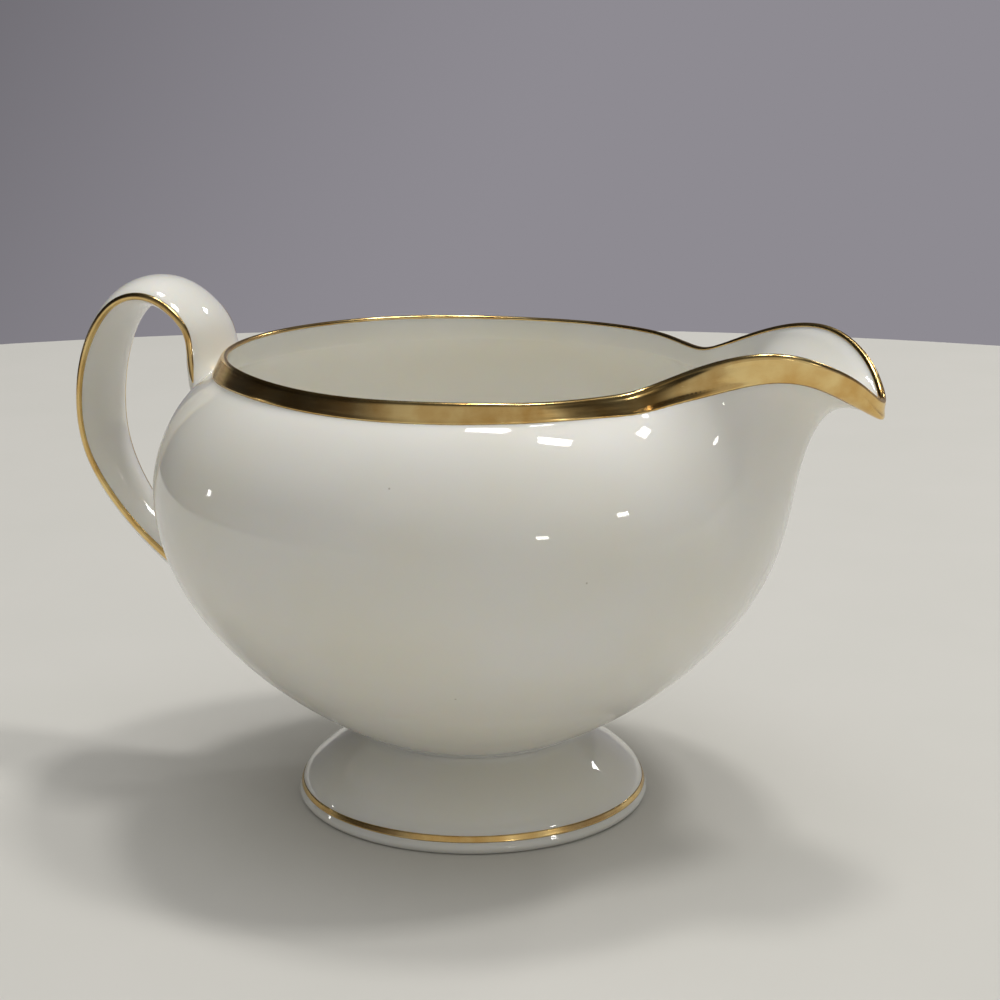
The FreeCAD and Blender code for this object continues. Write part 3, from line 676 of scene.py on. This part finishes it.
def bandPoints():
    # the band follows one ring of the rim, apart from its extra width and the hand's waver
    quarter = halfColumns / 2
    lowPlace = placeAtDistance(jugNet, topRow, quarter, gilding["bandWidth"], -1)
    highPlace = placeAtDistance(jugNet, topRow, quarter, gilding["bandOver"], 1)
    columns = np.linspace(0, columnTotal, columnTotal * 2 * detail, endpoint=False)
    ringLength = runningLength(netPoint(jugNet, np.full(len(columns), float(topRow)), columns))
    pace = (highPlace - lowPlace) / (gilding["bandWidth"] + gilding["bandOver"])
    extra = bandExtra(np.minimum(columns, columnTotal - columns)) - handWaver(ringLength, ringLength[-1], 0)
    middle = 50
    nearLow = lowPlace + np.linspace(2.5, -2.5, 2 * middle + 1)
    fromLow = [runningLength(netPoint(jugNet, nearLow, column)) for column in columns]
    lowEdge = np.array([np.interp(down[middle] + e, down, nearLow) for down, e in zip(fromLow, extra)])
    highWaver = 0.6
    highEdge = highPlace + highWaver * pace * handWaver(ringLength, ringLength[-1], 1)
    top = np.linspace(0, 1, 14 * detail + 1)
    below = np.linspace(1, 0, 6)[1:-1]
    share = np.concatenate([top, below])[:, None]
    lift = filmLift(filmTop(top, gilding["bandRounding"]), len(below))[:, None]
    places = lowEdge + (highEdge - lowEdge) * share
    columnGrid = np.broadcast_to(columns, places.shape)
    points = netPoint(jugNet, places, columnGrid)
    normal = skinNormal(jugNet, places, columnGrid)
    spread = np.zeros(places.shape + (2,))
    spread[..., 0] = ringLength
    spread[..., 1] = share * (gilding["bandWidth"] + gilding["bandOver"])
    return points + normal * lift[..., None], spread


bandGrid, bandSpread = bandPoints()
rimPiece = gridMesh("rim_gold", bandGrid, closeAlong=True, spread=bandSpread)


def handleLine(column, which):
    # gold on a ridge of the strap, from root to root
    j = int(round(column / strapColumns * len(around))) % len(around)
    shortOfRoot = 0.15
    places = np.linspace(upperNear[j] + shortOfRoot, lowerNear[j] - shortOfRoot, strapRows * 3 * detail)
    ridge = netPoint(handleNet, places, float(column))
    length = runningLength(ridge)
    oneColumn = netPoint(handleNet, places, column + 0.5) - netPoint(handleNet, places, column - 0.5)
    taper = np.clip(np.minimum(length, length[-1] - length) / gilding["lineTaper"], 0.02, 1)**0.5
    half = gilding["lineWidth"] / 2 + handWaver(length, length[-1], which, closed=False)
    half = half / np.linalg.norm(oneColumn, axis=1) * taper
    top = np.linspace(-1, 1, 7 * detail)
    below = np.linspace(1, -1, 5)[1:-1]
    share = np.concatenate([top, below])[None, :]
    lift = filmLift(filmTop((top + 1) / 2, gilding["lineRounding"]), len(below))[None, :]
    columns = column + half[:, None] * share
    placeGrid = np.broadcast_to(places[:, None], columns.shape)
    points = netPoint(handleNet, placeGrid, columns)
    normal = skinNormal(handleNet, placeGrid, columns)
    sideSign = 1.0 if column == 0 else -1.0
    if normal[len(places) // 2, len(top) // 2, 1] * sideSign < 0:
        normal = -normal
    spread = np.zeros(columns.shape + (2,))
    spread[..., 0] = length[:, None]
    spread[..., 1] = (share + 1) * gilding["lineWidth"] / 2
    points = points + normal * (lift * taper[:, None])[..., None]
    start, end = (points[[k]].mean(axis=1, keepdims=True).repeat(points.shape[1], axis=1) for k in (0, -1))
    points = np.concatenate([start, points, end])
    spread = np.concatenate([spread[:1], spread, spread[-1:]])
    return points, spread


leftGrid, leftSpread = handleLine(0, 2)
leftPiece = gridMesh("handle_gold_left", leftGrid, poles=True, spread=leftSpread)
rightGrid, rightSpread = handleLine(strapColumns // 2, 3)
rightPiece = gridMesh("handle_gold_right", rightGrid, poles=True, spread=rightSpread)


def footLine():
    # gold round the top of the foot's rounded edge
    segments = 384
    turn = np.linspace(0, 2 * math.pi, segments, endpoint=False)
    sideLength = runningLength(footSide)
    topAt = np.interp(-gilding["footLineTop"], -footSide[:, 1], sideLength)
    lowAt = topAt + gilding["lineWidth"]
    ringLength = turn * foot["radius"]
    total = 2 * math.pi * foot["radius"]
    upper = topAt + handWaver(ringLength, total, 4)
    lower = lowAt + handWaver(ringLength, total, 5)
    top = np.linspace(0, 1, 7 * detail)
    below = np.linspace(1, 0, 5)[1:-1]
    share = np.concatenate([top, below])[:, None]
    lift = filmLift(filmTop(top, gilding["lineRounding"]), len(below))[:, None]
    s = upper + (lower - upper) * share
    step = 0.05
    radius, height = (np.interp(s, sideLength, line) for line in footSide.T)
    slopeR, slopeZ = (np.interp(s + step, sideLength, line) - np.interp(s - step, sideLength, line)
                      for line in footSide.T)
    size = np.hypot(slopeR, slopeZ)
    radius = radius - lift * slopeZ / size
    height = height + lift * slopeR / size
    points = np.stack([radius * np.cos(turn), radius * np.sin(turn), height], axis=2)
    spread = np.zeros(points.shape[:2] + (2,))
    spread[..., 0] = ringLength
    spread[..., 1] = share * gilding["lineWidth"]
    return points, spread


footGrid, footSpread = footLine()
footGoldPiece = gridMesh("foot_gold", footGrid, closeAlong=True, spread=footSpread)
print("gilding made")


def linearColour(code):
    # sRGB hex to the linear colour that the shaders take
    parts = [int(code[i:i + 2], 16) / 255 for i in (1, 3, 5)]
    return [p / 12.92 if p <= 0.04045 else ((p + 0.055) / 1.055)**2.4 for p in parts] + [1.0]


def addNode(tree, kind, settings=None, links=None):
    node = tree.nodes.new(kind)
    for name, value in (settings or {}).items():
        if isinstance(name, int) or name in node.inputs:
            node.inputs[name].default_value = value
        else:
            setattr(node, name, value)
    for name, source in (links or {}).items():
        tree.links.new(source, node.inputs[name])
    return node


def newMaterial(name):
    material = bpy.data.materials.new(name)
    material.use_nodes = True
    tree = material.node_tree
    tree.nodes.clear()
    return material, tree


def perMm(size):
    # pattern scale for a feature of a size in millimetres
    return 1000.0 / size


china = {
    "ivory": "#f0efeb", "ivoryWarm": "#efede4", "speck": "#8f8269",
    "glazeRoughness": 0.03, "glazeIor": 1.52, "bodyRoughness": 0.4,
    "rippleSize": 11.0, "rippleDepth": 0.04, "peelSize": 1.6, "peelDepth": 0.004,
    "cloudSize": 26.0, "speckSpacing": 7.0, "speckStrength": 0.5, "speckRarity": 0.86,
    "glow": 0.35, "glowDepth": 2.6,
}


def glazedBoneChina():
    # cast bone china under a clear fired glaze: a warm ivory body that glows a little at its
    # thin edges, and a hard wet-looking skin whose reflections waver very slightly
    material, tree = newMaterial("glazed bone china")
    place = addNode(tree, "ShaderNodeTexCoord").outputs["Object"]
    cloud = addNode(tree, "ShaderNodeTexNoise", {"Scale": perMm(china["cloudSize"]), "Detail": 3.0},
                    {"Vector": place})
    cloudShare = addNode(tree, "ShaderNodeMapRange", {"From Min": 0.35, "From Max": 0.65},
                         {"Value": cloud.outputs["Fac"]})
    body = addNode(tree, "ShaderNodeMix",
                   {"data_type": "RGBA", 6: linearColour(china["ivory"]),
                    7: linearColour(china["ivoryWarm"])},
                   {0: cloudShare.outputs["Result"]})
    cells = addNode(tree, "ShaderNodeTexVoronoi", {"Scale": perMm(china["speckSpacing"])}, {"Vector": place})
    dot = addNode(tree, "ShaderNodeMapRange",
                  {"From Min": 0.012, "From Max": 0.03, "To Min": 1.0, "To Max": 0.0},
                  {"Value": cells.outputs["Distance"]})
    pick = addNode(tree, "ShaderNodeSeparateColor", None, {"Color": cells.outputs["Color"]})
    rare = addNode(tree, "ShaderNodeMath", {"operation": "GREATER_THAN", 1: china["speckRarity"]},
                   {0: pick.outputs["Red"]})
    speck = addNode(tree, "ShaderNodeMath", {"operation": "MULTIPLY"},
                    {0: dot.outputs["Result"], 1: rare.outputs["Value"]})
    faint = addNode(tree, "ShaderNodeMath", {"operation": "MULTIPLY", 1: china["speckStrength"]},
                    {0: speck.outputs["Value"]})
    colour = addNode(tree, "ShaderNodeMix", {"data_type": "RGBA", 7: linearColour(china["speck"])},
                     {0: faint.outputs["Value"], 6: body.outputs[2]})
    ripple = addNode(tree, "ShaderNodeTexNoise", {"Scale": perMm(china["rippleSize"]), "Detail": 1.0},
                     {"Vector": place})
    peel = addNode(tree, "ShaderNodeTexNoise", {"Scale": perMm(china["peelSize"]), "Detail": 1.0},
                   {"Vector": place})
    wave = addNode(tree, "ShaderNodeBump", {"Strength": 0.35, "Distance": china["rippleDepth"] * metresPerMm},
                   {"Height": ripple.outputs["Fac"]})
    skin = addNode(tree, "ShaderNodeBump", {"Strength": 0.15, "Distance": china["peelDepth"] * metresPerMm},
                   {"Height": peel.outputs["Fac"], "Normal": wave.outputs["Normal"]})
    shader = addNode(tree, "ShaderNodeBsdfPrincipled", {
        "Roughness": china["bodyRoughness"], "IOR": 1.5, "Specular IOR Level": 0.1,
        "Subsurface Weight": china["glow"], "Subsurface Radius": (1.0, 0.85, 0.6),
        "Subsurface Scale": china["glowDepth"] * metresPerMm,
        "Coat Weight": 1.0, "Coat Roughness": china["glazeRoughness"], "Coat IOR": china["glazeIor"],
    }, {"Base Color": colour.outputs[2], "Coat Normal": skin.outputs["Normal"]})
    addNode(tree, "ShaderNodeOutputMaterial", None, {"Surface": shader.outputs["BSDF"]})
    return material


bisque = {"clean": "#d9d4c6", "rubbed": "#b3aca0", "grain": 0.35, "grainDepth": 0.05, "rubSize": 6.0,
          "topHeight": 0.12}


def wipedBisque():
    # standing ring wiped clean of glaze before firing: chalky, a little grey from the table
    material, tree = newMaterial("wiped unglazed bisque")
    place = addNode(tree, "ShaderNodeTexCoord").outputs["Object"]
    rub = addNode(tree, "ShaderNodeTexNoise", {"Scale": perMm(bisque["rubSize"]), "Detail": 4.0},
                  {"Vector": place})
    share = addNode(tree, "ShaderNodeMapRange", {"From Min": 0.42, "From Max": 0.7},
                    {"Value": rub.outputs["Fac"]})
    colour = addNode(tree, "ShaderNodeMix",
                     {"data_type": "RGBA", 6: linearColour(bisque["clean"]),
                      7: linearColour(bisque["rubbed"])},
                     {0: share.outputs["Result"]})
    grain = addNode(tree, "ShaderNodeTexNoise", {"Scale": perMm(bisque["grain"])}, {"Vector": place})
    bump = addNode(tree, "ShaderNodeBump", {"Strength": 0.5, "Distance": bisque["grainDepth"] * metresPerMm},
                   {"Height": grain.outputs["Fac"]})
    shader = addNode(tree, "ShaderNodeBsdfPrincipled", {"Roughness": 0.75},
                     {"Base Color": colour.outputs[2], "Normal": bump.outputs["Normal"]})
    addNode(tree, "ShaderNodeOutputMaterial", None, {"Surface": shader.outputs["BSDF"]})
    return material


gold = {
    "bright": "#f2d594", "deep": "#d9ae66", "roughLow": 0.16, "roughHigh": 0.28,
    "strokeLength": 9.0, "strokeWidth": 0.35, "strokeDepth": 0.012, "patchSize": 5.0,
}


def burnishedGold():
    # fired gold rubbed bright with agate and sand: warm metal, fine strokes along the line,
    # slightly duller patches where the film is thin
    material, tree = newMaterial("burnished gold")
    place = addNode(tree, "ShaderNodeTexCoord")
    strokes = addNode(tree, "ShaderNodeMapping",
                      {"Scale": (1 / gold["strokeLength"], 1 / gold["strokeWidth"], 1.0)},
                      {"Vector": place.outputs["UV"]})
    streak = addNode(tree, "ShaderNodeTexNoise", {"Scale": 1.0, "Detail": 3.0, "Roughness": 0.6},
                     {"Vector": strokes.outputs["Vector"]})
    patch = addNode(tree, "ShaderNodeTexNoise", {"Scale": perMm(gold["patchSize"]), "Detail": 3.0},
                    {"Vector": place.outputs["Object"]})
    share = addNode(tree, "ShaderNodeMapRange", {"From Min": 0.35, "From Max": 0.7},
                    {"Value": patch.outputs["Fac"]})
    colour = addNode(tree, "ShaderNodeMix",
                     {"data_type": "RGBA", 6: linearColour(gold["bright"]),
                      7: linearColour(gold["deep"])},
                     {0: share.outputs["Result"]})
    rough = addNode(tree, "ShaderNodeMapRange",
                    {"From Min": 0.3, "From Max": 0.75,
                     "To Min": gold["roughLow"], "To Max": gold["roughHigh"]},
                    {"Value": streak.outputs["Fac"]})
    bump = addNode(tree, "ShaderNodeBump", {"Strength": 0.25, "Distance": gold["strokeDepth"] * metresPerMm},
                   {"Height": streak.outputs["Fac"]})
    shader = addNode(tree, "ShaderNodeBsdfPrincipled", {"Metallic": 1.0},
                     {"Base Color": colour.outputs[2], "Roughness": rough.outputs["Result"],
                      "Normal": bump.outputs["Normal"]})
    addNode(tree, "ShaderNodeOutputMaterial", None, {"Surface": shader.outputs["BSDF"]})
    return material


chinaMaterial = glazedBoneChina()
bisqueMaterial = wipedBisque()
goldMaterial = burnishedGold()
for piece in (bowlPiece, neckPiece, handlePiece):
    piece.data.materials.append(chinaMaterial)
footPiece.data.materials.append(chinaMaterial)
footPiece.data.materials.append(bisqueMaterial)
for face in footPiece.data.polygons:
    if face.center.z < bisque["topHeight"] * metresPerMm:
        face.material_index = 1
for piece in (rimPiece, leftPiece, rightPiece, footGoldPiece):
    piece.data.materials.append(goldMaterial)
print("materials made")

# visual piece, material slot, CAD nodes that it replaces
standsFor = [
    (bowlPiece, "china", ["bowl"]),
    (footPiece, "china", ["foot"]),
    (neckPiece, "slip", ["foot_slip"]),
    (handlePiece, "china", ["handle", "handle_upper_slip", "handle_lower_slip"]),
    (rimPiece, "gilding", ["rim_gilding"]),
    (leftPiece, "gilding", ["handle_gilding_left"]),
    (rightPiece, "gilding", ["handle_gilding_right"]),
    (footGoldPiece, "gilding", ["foot_gilding"]),
]
for piece, slotName, nodes in standsFor:
    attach(piece, "root")
    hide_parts(*nodes)

studio = {
    "floor": "#d3d1cd", "floorCloud": "#cecdc8", "floorRadius": 0.52, "floorGap": 0.00002, "fibreSize": 40.0,
    "camera": (0.1222, -0.3158, 0.1358), "aim": (-0.3477, 0.9376), "tilt": 13.82, "lens": 72.8,
    "lampColour": "#fffdf8",
}


def makeFloor():
    mesh = bmesh.new()
    bmesh.ops.create_circle(mesh, cap_ends=True, segments=128, radius=studio["floorRadius"])
    data = bpy.data.meshes.new("studio_floor")
    mesh.to_mesh(data)
    mesh.free()
    floor = bpy.data.objects.new("studio_floor", data)
    floor.location.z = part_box("foot")[0].z - studio["floorGap"]
    bpy.context.scene.collection.objects.link(floor)
    material, tree = newMaterial("matte table paper")
    place = addNode(tree, "ShaderNodeTexCoord").outputs["Object"]
    fibre = addNode(tree, "ShaderNodeTexNoise", {"Scale": perMm(studio["fibreSize"]), "Detail": 4.0},
                    {"Vector": place})
    colour = addNode(tree, "ShaderNodeMix",
                     {"data_type": "RGBA", 6: linearColour(studio["floor"]),
                      7: linearColour(studio["floorCloud"])},
                     {0: fibre.outputs["Fac"]})
    shader = addNode(tree, "ShaderNodeBsdfPrincipled", {"Roughness": 0.8, "Specular IOR Level": 0.2},
                     {"Base Color": colour.outputs[2]})
    addNode(tree, "ShaderNodeOutputMaterial", None, {"Surface": shader.outputs["BSDF"]})
    floor.data.materials.append(material)


room = {
    "wall": "#8e8b92", "ceiling": "#2e2c2a", "wallTop": 0.1, "ceilingStart": 0.42,
    "brightSide": (0.46, -0.86, 0.21), "brightFrom": 0.5, "brightTo": 0.85, "bright": "#aeaba6",
    "brightTop": 0.85,
    "darkSide": (-0.90, 0.05, 0.43), "darkFrom": 0.3, "darkTo": 0.85, "darkLevel": 0.1,
    "fillLow": "#4a4946", "fillHigh": "#ffffff", "fillLevel": 1.45, "fillRise": 5.0,
    "frontSide": (0.26, -0.72, 0.64), "frontFrom": 0.35, "frontTo": 0.95, "frontFill": "#5c5b57",
}


def makeWorld():
    # soft fill from above and from the front lights the jug. what the camera sees and the glaze
    # and the gold mirror is a plain grey room, dark above and at the handle's end, with one pale wall
    world = bpy.data.worlds.new("studio")
    bpy.context.scene.world = world
    world.use_nodes = True
    tree = world.node_tree
    tree.nodes.clear()
    direction = addNode(tree, "ShaderNodeTexCoord").outputs["Generated"]
    parts = addNode(tree, "ShaderNodeSeparateXYZ", None, {"Vector": direction})
    ramp = addNode(tree, "ShaderNodeValToRGB", None, {"Fac": parts.outputs["Z"]})
    stops = ramp.color_ramp.elements
    stops[0].position = room["wallTop"]
    stops[0].color = linearColour(room["wall"])
    stops[1].position = room["ceilingStart"]
    stops[1].color = linearColour(room["ceiling"])

    def sideShare(side, start, end):
        toward = addNode(tree, "ShaderNodeVectorMath", {"operation": "DOT_PRODUCT", 1: side}, {0: direction})
        return addNode(tree, "ShaderNodeMapRange",
                       {"interpolation_type": "SMOOTHSTEP", "From Min": start, "From Max": end},
                       {"Value": toward.outputs["Value"]})

    lit = sideShare(room["brightSide"], room["brightFrom"], room["brightTo"])
    dim = sideShare(room["darkSide"], room["darkFrom"], room["darkTo"])
    below = addNode(tree, "ShaderNodeMapRange",
                    {"interpolation_type": "SMOOTHSTEP", "From Min": room["ceilingStart"],
                     "From Max": room["brightTop"], "To Min": 1.0, "To Max": 0.0},
                    {"Value": parts.outputs["Z"]})
    litWall = addNode(tree, "ShaderNodeMath", {"operation": "MULTIPLY"},
                      {0: lit.outputs["Result"], 1: below.outputs["Result"]})
    walls = addNode(tree, "ShaderNodeMix", {"data_type": "RGBA", 7: linearColour(room["bright"])},
                    {0: litWall.outputs["Value"], 6: ramp.outputs["Color"]})
    level = addNode(tree, "ShaderNodeMapRange", {"To Min": 1.0, "To Max": room["darkLevel"]},
                    {"Value": dim.outputs["Result"]})
    seen = addNode(tree, "ShaderNodeBackground", None,
                   {"Color": walls.outputs[2], "Strength": level.outputs["Result"]})
    overhead = addNode(tree, "ShaderNodeMath", {"operation": "POWER", 1: room["fillRise"]},
                       {0: parts.outputs["Z"]})
    fillColour = addNode(tree, "ShaderNodeMix",
                         {"data_type": "RGBA", 6: linearColour(room["fillLow"]),
                          7: linearColour(room["fillHigh"])},
                         {0: overhead.outputs["Value"]})
    front = sideShare(room["frontSide"], room["frontFrom"], room["frontTo"])
    litFill = addNode(tree, "ShaderNodeMix",
                      {"data_type": "RGBA", "blend_type": "ADD", 7: linearColour(room["frontFill"])},
                      {0: front.outputs["Result"], 6: fillColour.outputs[2]})
    fill = addNode(tree, "ShaderNodeBackground", {"Strength": room["fillLevel"]},
                   {"Color": litFill.outputs[2]})
    rays = addNode(tree, "ShaderNodeLightPath")
    mirrored = addNode(tree, "ShaderNodeMath", {"operation": "MAXIMUM"},
                       {0: rays.outputs["Is Glossy Ray"], 1: rays.outputs["Is Transmission Ray"]})
    shown = addNode(tree, "ShaderNodeMath", {"operation": "MAXIMUM"},
                    {0: rays.outputs["Is Camera Ray"], 1: mirrored.outputs["Value"]})
    mix = addNode(tree, "ShaderNodeMixShader", None,
                  {0: shown.outputs["Value"], 1: fill.outputs["Background"], 2: seen.outputs["Background"]})
    addNode(tree, "ShaderNodeOutputWorld", None, {"Surface": mix.outputs["Shader"]})


def addSoftbox(name, place, aim, width, height, watts):
    data = bpy.data.lights.new(name, "AREA")
    data.shape = "RECTANGLE"
    data.size = width
    data.size_y = height
    data.energy = watts
    data.color = linearColour(studio["lampColour"])[:3]
    lamp = bpy.data.objects.new(name, data)
    lamp.location = place
    lamp.rotation_euler = (Vector(aim) - place).to_track_quat("-Z", "Y").to_euler()
    bpy.context.scene.collection.objects.link(lamp)


def towards(azimuth, elevation, distance):
    a, e = math.radians(azimuth), math.radians(elevation)
    return distance * Vector((math.cos(e) * math.cos(a), math.cos(e) * math.sin(a), math.sin(e)))


# name, spot lit, azimuth, elevation, distance, width, height, watts
lamps = [
    ("back ceiling softbox", (0.019, -0.041, 0.074), 96, 74, 1.45, 0.20, 0.20, 4.7),
    ("right ceiling softbox", (0.014, -0.015, 0.011), 30, 69, 1.50, 0.20, 0.20, 4.7),
    ("right back window card", (0.0, 0.0, 0.05), 69, 32, 1.30, 0.14, 0.10, 1.0),
    ("right window card", (0.043, -0.030, 0.065), -15, 17, 1.20, 0.08, 0.06, 0.35),
    ("front window card", (0.028, -0.046, 0.060), -45, 6, 1.20, 0.09, 0.05, 0.3),
    ("left window card", (-0.026, -0.047, 0.061), -174, 5, 1.20, 0.04, 0.06, 0.1),
]

makeFloor()
makeWorld()
for name, spot, azimuth, elevation, distance, width, height, watts in lamps:
    addSoftbox(name, Vector(spot) + towards(azimuth, elevation, distance), spot, width, height, watts)

camera = bpy.data.objects.new("camera", bpy.data.cameras.new("camera"))
camera.location = studio["camera"]
tilt = math.radians(studio["tilt"])
aim = Vector((studio["aim"][0] * math.cos(tilt), studio["aim"][1] * math.cos(tilt), -math.sin(tilt)))
camera.rotation_euler = aim.to_track_quat("-Z", "Y").to_euler()
camera.data.lens = studio["lens"]
camera.data.sensor_width = 36.0
bpy.context.scene.collection.objects.link(camera)
bpy.context.scene.camera = camera
bpy.context.scene.view_settings.view_transform = "Standard"
print("studio made")
